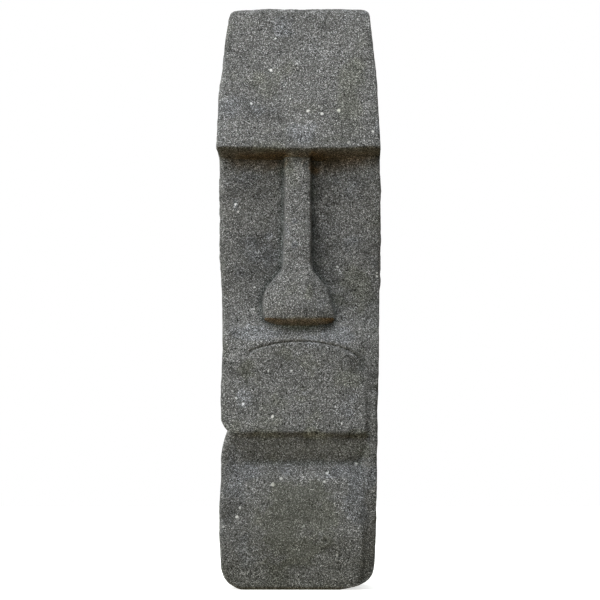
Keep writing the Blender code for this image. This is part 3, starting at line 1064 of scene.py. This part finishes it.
    def build(self) -> bpy.types.Object:
        """Carve and weather the head.

        Returns:
            The mesh object, with its masks kept as attributes.
        """
        grid = self.sheet()
        pores = self.weathering.apply(grid)
        shelter = self.shelter(grid)
        bulge = grid.bulge(self.weathering.wear_rounds)
        masks = {
            "shelter": shelter,
            "worn": np.clip(bulge / self.worn_bulge, 0.0, 1.0),
            "cove": np.clip(-bulge / self.worn_bulge, 0.0, 1.0),
            "pores": pores,
            **self.tone_patches.masks(grid),
        }
        rows, columns = grid.points.shape[:2]
        vertices = grid.points.reshape(-1, 3).tolist()
        faces = ring_faces(rows, columns)
        for row, height in ((0, 0.0), (rows - 1, AT.top)):
            tip = grid.points[row].mean(axis=0)
            vertices.append((tip[0], tip[1], tip[2] if row else height))
            start = row * columns
            for column in range(columns):
                pair = (start + column, start + (column + 1) % columns)
                faces.append((*(pair if row else pair[::-1]), len(vertices) - 1))
        mesh = bpy.data.meshes.new("moai_stone")
        mesh.from_pydata(vertices, [], faces)
        mesh.update()
        mesh.shade_smooth()
        for name, values in masks.items():
            attribute = mesh.attributes.new(name, "FLOAT", "POINT")
            full = np.append(values.ravel(), (0.0, 0.0)).astype(np.float32)
            attribute.data.foreach_set("value", full)
        stone = bpy.data.objects.new("moai_stone", mesh)
        bpy.context.scene.collection.objects.link(stone)
        return stone


def ring_faces(rows: int, columns: int) -> list[tuple[int, int, int, int]]:
    """Faces of a closed sheet.

    Args:
        rows: Number of its rows.
        columns: Number of points in each row.

    Returns:
        Four corners for each face, which looks outward.
    """
    faces = []
    for row in range(rows - 1):
        low, high = row * columns, (row + 1) * columns
        for column in range(columns):
            after = (column + 1) % columns
            faces.append((low + column, low + after, high + after, high + column))
    return faces


def hemisphere(count: int) -> list[Vector]:
    """Directions spread evenly over the upper half of a ball, most of them near its pole."""
    golden = math.pi * (3.0 - math.sqrt(5.0))
    rays = []
    for index in range(count):
        radius = math.sqrt((index + 0.5) / count)
        turn = index * golden
        rays.append(Vector((
            radius * math.cos(turn), radius * math.sin(turn), math.sqrt(1.0 - radius * radius),
        )))
    return rays


class Bench:
    """Places and joins the nodes of one shader tree."""

    def __init__(self, tree: bpy.types.NodeTree) -> None:
        """Work on a tree."""
        self.tree = tree

    def add(self, kind: str, **settings: object) -> bpy.types.Node:
        """Add a node.

        Args:
            kind: Name of the node's type, without its prefix.
            **settings: Properties of the node.

        Returns:
            The node.
        """
        node = self.tree.nodes.new("ShaderNode" + kind)
        for name, value in settings.items():
            setattr(node, name, value)
        return node

    def feed(self, socket: Socket, value: object) -> None:
        """Link a socket to another, or set its value."""
        if isinstance(value, Socket):
            self.tree.links.new(value, socket)
        else:
            socket.default_value = value

    def math(self, operation: str, *values: object) -> Socket:
        """Do arithmetic on sockets or numbers."""
        node = self.add("Math", operation=operation)
        for socket, value in zip(node.inputs, values):
            self.feed(socket, value)
        return node.outputs["Value"]

    def vector(self, operation: str, *values: object, output: str = "Vector") -> Socket:
        """Do arithmetic on vectors.

        Args:
            operation: Name of the operation.
            *values: What it works on, as sockets or values.
            output: Value for a length, a distance or a dot product, else Vector.

        Returns:
            The result's socket.
        """
        node = self.add("VectorMath", operation=operation)
        for socket, value in zip(node.inputs, values):
            self.feed(socket, value)
        return node.outputs[output]

    def scaled(self, vector: Socket, factor: Socket) -> Socket:
        """A vector or a colour times a factor."""
        node = self.add("VectorMath", operation="SCALE")
        self.feed(node.inputs["Vector"], vector)
        self.feed(node.inputs["Scale"], factor)
        return node.outputs["Vector"]

    def parts(self, vector: Socket) -> bpy.types.bpy_prop_collection:
        """The X, Y and Z of a vector."""
        node = self.add("SeparateXYZ")
        self.feed(node.inputs["Vector"], vector)
        return node.outputs

    def step(self, value: object, start: object, end: object) -> Socket:
        """Smooth step from 0 at start to 1 at end.

        Args:
            value: Socket to read.
            start: Value at which the step is 0.
            end: Value at which the step is 1.

        Returns:
            The step's socket.
        """
        node = self.add("MapRange", interpolation_type="SMOOTHSTEP")
        for name, given in (("Value", value), ("From Min", start), ("From Max", end)):
            self.feed(node.inputs[name], given)
        return node.outputs["Result"]

    def blend(self, share: object, first: object, second: object,
              mode: str = "MIX") -> Socket:
        """Lay one colour over another.

        Args:
            share: How much of the second colour shows.
            first: Colour below.
            second: Colour above.
            mode: How they meet.

        Returns:
            The blended colour's socket.
        """
        node = self.add("Mix", data_type="RGBA", blend_type=mode)
        self.feed(node.inputs[MIX_SHARE], share)
        self.feed(node.inputs[MIX_BELOW], first)
        self.feed(node.inputs[MIX_ABOVE], second)
        return node.outputs[MIX_RESULT]

    def tinted(self, ground: Socket, share: Socket, tint: Tint) -> Socket:
        """A colour multiplied by a tint, where share is 1."""
        return self.blend(share, ground, tint.opaque(), "MULTIPLY")

    def mask(self, name: str) -> Socket:
        """A mask that the mesh keeps at its points."""
        return self.add("Attribute", attribute_name=name).outputs["Fac"]

    def clouds(self, vector: Socket, size: float, detail: float = 2.0,
               output: str = "Fac") -> Socket:
        """Smooth noise.

        Args:
            vector: Where to read it.
            size: Size of its waves, in metres.
            detail: How many halvings of the size are added.
            output: Fac for a number, Color for three.

        Returns:
            The noise's socket, from 0 to 1.
        """
        node = self.add("TexNoise")
        self.feed(node.inputs["Vector"], vector)
        self.feed(node.inputs["Scale"], 1.0 / size)
        self.feed(node.inputs["Detail"], detail)
        return node.outputs[output]


@dataclass(frozen=True)
class CrystalGroup:
    """Shader group: angular grains of one size, some of which are of another mineral."""

    name: str = "crystals"
    core: float = 0.55

    def build(self) -> bpy.types.NodeTree:
        """Make the group.

        Returns:
            A tree with inputs Vector, Size, Share and Edge and outputs Mask and Tone.
        """
        tree = bpy.data.node_groups.new(self.name, "ShaderNodeTree")
        sides = (("Vector", "INPUT", "NodeSocketVector"), ("Size", "INPUT", "NodeSocketFloat"),
                 ("Share", "INPUT", "NodeSocketFloat"), ("Edge", "INPUT", "NodeSocketFloat"),
                 ("Mask", "OUTPUT", "NodeSocketFloat"), ("Tone", "OUTPUT", "NodeSocketFloat"))
        for name, side, kind in sides:
            tree.interface.new_socket(name=name, in_out=side, socket_type=kind)
        bench = Bench(tree)
        given = tree.nodes.new("NodeGroupInput").outputs
        cells = bench.add("TexVoronoi")
        bench.feed(cells.inputs["Vector"], given["Vector"])
        bench.feed(cells.inputs["Scale"], bench.math("DIVIDE", 1.0, given["Size"]))
        parts = bench.add("SeparateColor")
        bench.feed(parts.inputs["Color"], cells.outputs["Color"])
        chosen = bench.math("LESS_THAN", parts.outputs["Red"], given["Share"])
        body = bench.step(cells.outputs["Distance"], given["Edge"],
                          bench.math("MULTIPLY", given["Edge"], self.core))
        made = tree.nodes.new("NodeGroupOutput").inputs
        bench.feed(made["Mask"], bench.math("MULTIPLY", chosen, body))
        bench.feed(made["Tone"], parts.outputs["Green"])
        return tree


@dataclass(frozen=True)
class Crystals:
    """One kind of grain in the stone: its colour, its size and how much of it there is."""

    tint: Tint
    size: float
    share: float
    lift: float
    edge: float = 0.62

    def place(self, bench: Bench, group: bpy.types.NodeTree,
              vector: Socket) -> bpy.types.bpy_prop_collection:
        """Place the group in a material.

        Args:
            bench: The material's tree.
            group: The crystal group.
            vector: Place on the stone.

        Returns:
            The placed group's outputs.
        """
        node = bench.add("Group", node_tree=group)
        for name, value in (("Vector", vector), ("Size", self.size),
                            ("Share", self.share), ("Edge", self.edge)):
            bench.feed(node.inputs[name], value)
        return node.outputs


@dataclass(frozen=True)
class StoneCoat:
    """How the stone varies from place to place, and the painted shade that sheltered places get.
    """

    waves: tuple[Vec, ...] = ((0.055, 0.86, 1.16), (0.016, 0.88, 1.13))
    wave_band: Pair = (0.30, 0.70)
    drift_size: float = 0.060
    hue_reach: float = 0.25
    blue_band: Pair = (0.56, 0.74)
    olive_band: Pair = (0.46, 0.26)
    # Darker towards the bottom, up to an uneven line.
    low_size: float = 0.040
    low_rise: float = 0.12
    low_band: Pair = (0.19, 0.03)
    # Painted shade on surfaces that face down and are sheltered, browned like bounced light.
    under_band: Pair = (-0.30, -0.60)
    shade_shelter: Pair = (0.03, 0.22)
    # Painted shade in corners and creases: how much creases add, and the shelter over which it
    # grows.
    cove_shade: float = 0.35
    corner_shade_band: Pair = (0.10, 0.60)
    worn_band: Pair = (0.6, 1.0)
    pore_dark: float = 0.6

    def varied(self, bench: Bench, place: Socket, ground: Socket) -> Socket:
        """Vary the clean stone in tone and hue.

        Args:
            bench: The material's tree.
            place: Place on the stone.
            ground: Colour of the clean stone.

        Returns:
            The varied colour.
        """
        limits = ("From Min", "From Max", "To Min", "To Max")
        for size, low, high in self.waves:
            scale = bench.add("MapRange", interpolation_type="LINEAR")
            bench.feed(scale.inputs["Value"], bench.clouds(place, size))
            for name, limit in zip(limits, (*self.wave_band, low, high)):
                scale.inputs[name].default_value = limit
            ground = bench.scaled(ground, scale.outputs["Result"])
        waves = bench.clouds(place, self.drift_size, 3.0)
        drift = bench.math("MULTIPLY_ADD", bench.mask("hue"), self.hue_reach, waves)
        ground = bench.tinted(ground, bench.step(drift, *self.blue_band), Tint.BLUE_CAST)
        ground = bench.tinted(ground, bench.step(drift, *self.olive_band), Tint.OLIVE_CAST)
        return bench.scaled(ground, bench.math("ADD", bench.mask("tone"), 1.0))

    def over(self, bench: Bench, place: Socket, ground: Socket) -> Socket:
        """Lay the darkening near the ground, painted shade in corners and under overhangs, wear
        and film over the stone.

        Args:
            bench: The material's tree.
            place: Place on the stone.
            ground: Colour of the clean stone.

        Returns:
            Colour of the stone, with its painted shade.
        """
        ground = self.varied(bench, place, ground)
        # Darker towards the bottom, up to an uneven line.
        lowness = bench.math("MULTIPLY_ADD", bench.clouds(place, self.low_size),
                            self.low_rise, bench.parts(place)["Z"])
        ground = bench.tinted(ground, bench.step(lowness, *self.low_band), Tint.LOW_DARKENING)
        shelter = bench.mask("shelter")
        # Painted shade: darker where other stone shelters the surface, and more in creases.
        nook = bench.math("MULTIPLY_ADD", bench.mask("cove"), self.cove_shade, shelter)
        ground = bench.tinted(ground, bench.step(nook, *self.corner_shade_band), Tint.CORNER_SHADE)
        # Painted shade, browned like light bounced from the ground, on sheltered surfaces that
        # face down, plus what the underside patches add.
        facing = bench.parts(bench.add("NewGeometry").outputs["Normal"])
        under = bench.step(facing["Z"], *self.under_band)
        underside_shade = bench.step(bench.math("ADD", under, bench.mask("underside_shade")), 0.0, 1.0)
        underside_shade = bench.math("MULTIPLY", underside_shade, bench.step(shelter, *self.shade_shelter))
        ground = bench.tinted(ground, underside_shade, Tint.UNDERSIDE_SHADE)
        ground = bench.tinted(ground, bench.step(bench.mask("worn"), *self.worn_band), Tint.WORN)
        ground = bench.blend(bench.mask("film"), ground, Tint.FILM.opaque())
        pores = bench.math("MULTIPLY", bench.mask("pores"), self.pore_dark)
        return bench.blend(pores, ground, Tint.PYROXENE.opaque())


@dataclass(frozen=True)
class Andesite:
    """Grey andesite: a dark matrix full of pale crystals, dressed but not polished."""

    coarse: Crystals = Crystals(Tint.FELDSPAR, 0.0016, 0.24, 0.5)
    fine: Crystals = Crystals(Tint.FELDSPAR, 0.0010, 0.38, 0.3)
    dark: Crystals = Crystals(Tint.PYROXENE, 0.0014, 0.48, -0.5)
    pits: Crystals = Crystals(Tint.PYROXENE, 0.0026, 0.16, -1.2, 0.75)
    clasts: Crystals = Crystals(Tint.CLAST, 0.0210, 0.09, 0.3, 0.15)
    specks: Crystals = Crystals(Tint.SPECK, 0.0110, 0.13, 0.3, 0.12)
    large_clasts: tuple[Vec, ...] = (
        (-0.041, 0.942, 0.0020), (-0.048, 0.885, 0.0027), (0.016, 0.811, 0.0028),
        (0.040, 0.806, 0.0025), (0.068, 0.812, 0.0031), (-0.081, 0.824, 0.0020),
        (-0.014, 0.833, 0.0017), (-0.076, 0.511, 0.0019), (0.065, 0.546, 0.0019),
        (-0.093, 0.311, 0.0028), (-0.044, 0.290, 0.0025), (0.072, 0.278, 0.0019),
        (-0.012, 0.367, 0.0019), (-0.043, 0.176, 0.0033), (-0.029, 0.186, 0.0028),
        (0.048, 0.195, 0.0027), (0.097, 0.211, 0.0023), (-0.103, 0.122, 0.0028),
        (-0.098, 0.137, 0.0020), (0.009, 0.107, 0.0014), (0.060, 0.144, 0.0013),
        (-0.051, 0.367, 0.0013), (-0.108, 0.654, 0.0019), (-0.104, 0.641, 0.0015),
        (0.133, 0.530, 0.0020), (0.133, 0.535, 0.0017), (0.017, 0.654, 0.0014),
    )
    clast_rim: Pair = (1.15, 0.70)
    clast_fade: Pair = (-0.02, -0.03)
    clast_cover: float = 0.92
    clast_wobble: float = 0.005
    far_off: float = 9.0
    wobble_size: float = 1.0 / 260.0
    jitter: float = 0.0006
    jitter_size: float = 1.0 / 380.0
    mottle_size: float = 0.0016
    mottle_band: Pair = (0.30, 0.70)
    mottle_lift: float = 0.5
    tone_power: float = 1.5
    least_tone: float = 0.10
    roughness: float = 0.90
    specular: float = 0.30
    bump_distance: float = 0.0008
    bump_strength: float = 0.50

    def minerals(self, bench: Bench, place: Socket) -> tuple[Socket, Socket]:
        """Lay the crystals over the matrix, each moved a little, so that none has straight sides.

        Args:
            bench: The material's tree.
            place: Place on the stone.

        Returns:
            Their colour and their height.
        """
        group = CrystalGroup().build()
        shake = bench.clouds(place, self.jitter_size, output="Color")
        vector = bench.vector("MULTIPLY_ADD", shake, (self.jitter,) * 3, place)
        mottle = bench.clouds(place, self.mottle_size, 3.0)
        ground = bench.blend(bench.step(mottle, *self.mottle_band),
                             Tint.MATRIX_DARK.opaque(), Tint.MATRIX_PALE.opaque())
        height = bench.math("MULTIPLY", mottle, self.mottle_lift)
        for grains in (self.coarse, self.fine, self.dark, self.pits, self.clasts, self.specks):
            outputs = grains.place(bench, group, vector)
            toned = bench.math("POWER", outputs["Tone"], self.tone_power)
            toned = bench.math("MULTIPLY_ADD", toned, 1.0 - self.least_tone, self.least_tone)
            share = bench.math("MULTIPLY", outputs["Mask"], toned)
            ground = bench.blend(share, ground, grains.tint.opaque())
            height = bench.math("MULTIPLY_ADD", share, grains.lift, height)
        large = bench.math("MULTIPLY", self.large_mask(bench, place), self.clast_cover)
        return bench.blend(large, ground, Tint.CLAST.opaque()), height

    def large_mask(self, bench: Bench, place: Socket) -> Socket:
        """Where the few large pale clasts lie in the face.

        Args:
            bench: The material's tree.
            place: Place on the stone.

        Returns:
            1 inside them and 0 outside.
        """
        wobble = bench.clouds(place, self.wobble_size, output="Color")
        rough = bench.vector("MULTIPLY_ADD", wobble, (self.clast_wobble,) * 3, place)
        vector = bench.vector("SUBTRACT", rough, (self.clast_wobble / 2.0,) * 3)
        flat = bench.vector("MULTIPLY", vector, (1.0, 0.0, 1.0))
        nearest: Socket | float = self.far_off
        for x, z, radius in self.large_clasts:
            apart = bench.vector("DISTANCE", flat, (x, 0.0, z), output="Value")
            share = bench.math("DIVIDE", apart, radius)
            nearest = bench.math("MINIMUM", share, nearest)
        front = bench.step(bench.parts(vector)["Y"], *self.clast_fade)
        return bench.math("MULTIPLY", bench.step(nearest, *self.clast_rim), front)

    def build(self, coat: StoneCoat) -> bpy.types.Material:
        """Make the material.

        Args:
            coat: What the weather has left on the stone.

        Returns:
            The material, with its shader at its own top level.
        """
        material = bpy.data.materials.new("dressed_andesite")
        material.use_nodes = True
        bench = Bench(material.node_tree)
        shader = material.node_tree.nodes["Principled BSDF"]
        place = bench.add("TexCoord").outputs["Object"]
        ground, height = self.minerals(bench, place)
        bench.feed(shader.inputs["Base Color"], coat.over(bench, place, ground))
        shader.inputs["Roughness"].default_value = self.roughness
        shader.inputs["Specular IOR Level"].default_value = self.specular
        bump = bench.add("Bump")
        bump.inputs["Strength"].default_value = self.bump_strength
        bump.inputs["Distance"].default_value = self.bump_distance
        bench.feed(bump.inputs["Height"], height)
        bench.feed(shader.inputs["Normal"], bump.outputs["Normal"])
        return material


@dataclass(frozen=True)
class Paper:
    """The matt pale paper that the head stands on; it glows a little far from the head."""

    roughness: float = 0.95
    fibre_size: float = 0.004
    fibre_band: Pair = (0.2, 0.8)
    glow_band: Pair = (0.8, 4.0)
    glow: Pair = (0.60, 0.85)

    def build(self) -> bpy.types.Material:
        """Make the material."""
        material = bpy.data.materials.new("studio_paper")
        material.use_nodes = True
        bench = Bench(material.node_tree)
        shader = material.node_tree.nodes["Principled BSDF"]
        place = bench.add("TexCoord").outputs["Object"]
        fibre = bench.step(bench.clouds(place, self.fibre_size), *self.fibre_band)
        white = bench.blend(fibre, Tint.PAPER_FIBRE.opaque(), Tint.PAPER.opaque())
        bench.feed(shader.inputs["Base Color"], white)
        away = bench.step(bench.vector("LENGTH", place, output="Value"), *self.glow_band)
        low, high = self.glow
        glow = bench.blend(away, (low, low, low, 1.0), (high, high, high, 1.0))
        bench.feed(shader.inputs["Emission Color"], glow)
        shader.inputs["Emission Strength"].default_value = 1.0
        shader.inputs["Roughness"].default_value = self.roughness
        return material


@dataclass(frozen=True)
class Lamp:
    """A square soft light that looks at the middle of the head."""

    name: str
    place: Vec
    size: float
    power: float
    tint: Vec = (1.0, 1.0, 1.0)

    def build(self, target: Vector) -> None:
        """Hang the lamp and turn it to a target."""
        light = bpy.data.lights.new(self.name, "AREA")
        light.shape = "SQUARE"
        light.size = self.size
        light.energy = self.power
        light.color = self.tint
        lamp = bpy.data.objects.new(self.name, light)
        lamp.location = self.place
        lamp.rotation_euler = (target - lamp.location).to_track_quat("-Z", "Y").to_euler()
        bpy.context.scene.collection.objects.link(lamp)


@dataclass(frozen=True)
class Studio:
    """Pale floor, soft light and the camera."""

    lamps: tuple[Lamp, ...] = (
        Lamp("overhead", (0.0, -1.9, 3.9), 2.5, 73.0),
        Lamp("upper_left", (-1.8, -2.4, 3.4), 2.5, 54.0),
        Lamp("far_left", (-4.0, -1.2, 2.0), 2.5, 56.0),
        Lamp("behind", (2.2, 3.8, 2.4), 2.5, 60.0),
    )
    air: tuple[tuple[Vec, float, float, Vec], ...] = (
        ((0.0, 0.0, 1.0), -0.2, 0.6, (0.420, 0.450, 0.430)),
        ((0.0, 0.0, -1.0), 0.0, 0.4, (0.196, 0.156, 0.076)),
        ((-0.89, -0.36, 0.27), 0.2, 0.9, (0.500, 0.500, 0.430)),
    )
    middle: Vec = (0.0, 0.0, 0.5)
    camera_distance: float = 4.2
    camera_azimuth: float = 1.0
    camera_height: float = 0.20
    aim: Pair = (0.0007, 0.4935)
    view_width: float = 1.035
    sensor: float = 36.0
    floor_half: float = 9.0

    def floor(self) -> bpy.types.Object:
        """Lay the paper: one flat sheet."""
        mesh = bpy.data.meshes.new("paper_floor")
        half = self.floor_half
        corners = [(-half, -half, 0.0), (half, -half, 0.0), (half, half, 0.0), (-half, half, 0.0)]
        mesh.from_pydata(corners, [], [(0, 1, 2, 3)])
        mesh.materials.append(Paper().build())
        floor = bpy.data.objects.new("paper_floor", mesh)
        floor.visible_diffuse = False
        floor.visible_glossy = False
        bpy.context.scene.collection.objects.link(floor)
        return floor

    def sky(self) -> None:
        """Light from all round, in soft lobes; the camera sees plain white."""
        world = bpy.data.worlds.new("studio_air")
        bpy.context.scene.world = world
        world.use_nodes = True
        bench = Bench(world.node_tree)
        direction = bench.add("TexCoord").outputs["Generated"]
        total = Tint.BLACK.opaque()
        for pole, start, end, light in self.air:
            towards = bench.vector("DOT_PRODUCT", direction, pole, output="Value")
            total = bench.blend(bench.step(towards, start, end), total, (*light, 1.0), "ADD")
        seen = bench.add("LightPath").outputs["Is Camera Ray"]
        shown = bench.blend(seen, total, Tint.WHITE.opaque())
        bench.feed(world.node_tree.nodes["Background"].inputs["Color"], shown)

    def camera(self) -> None:
        """Set up the camera, low in front of the head."""
        camera = bpy.data.cameras.new("camera")
        camera.sensor_width = self.sensor
        camera.lens = self.sensor * self.camera_distance / self.view_width
        holder = bpy.data.objects.new("camera", camera)
        turn = math.radians(self.camera_azimuth)
        holder.location = (
            self.camera_distance * math.sin(turn),
            -self.camera_distance * math.cos(turn),
            self.camera_height,
        )
        aim = Vector((self.aim[0], 0.0, self.aim[1])) - holder.location
        holder.rotation_euler = aim.to_track_quat("-Z", "Y").to_euler()
        bpy.context.scene.collection.objects.link(holder)
        bpy.context.scene.camera = holder

    def build(self) -> bpy.types.Object:
        """Set up the studio.

        Returns:
            The floor.
        """
        target = Vector(self.middle)
        for lamp in self.lamps:
            lamp.build(target)
        self.sky()
        self.camera()
        view = bpy.context.scene.view_settings
        view.view_transform = "Standard"
        view.look = "None"
        return self.floor()


def main() -> None:
    """Build the head and the studio, in order."""
    logging.basicConfig(level=logging.INFO, format="%(message)s")
    stone = StoneHead().build()
    stone.data.materials.append(Andesite().build(StoneCoat()))
    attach(stone, BODY)
    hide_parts(CAD_NODE)
    LOG.info("%s: %d faces", stone.name, len(stone.data.polygons))
    floor = Studio().build()
    LOG.info("%s: laid, with %d lamps", floor.name, len(Studio().lamps))


if __name__ == "__main__":
    main()
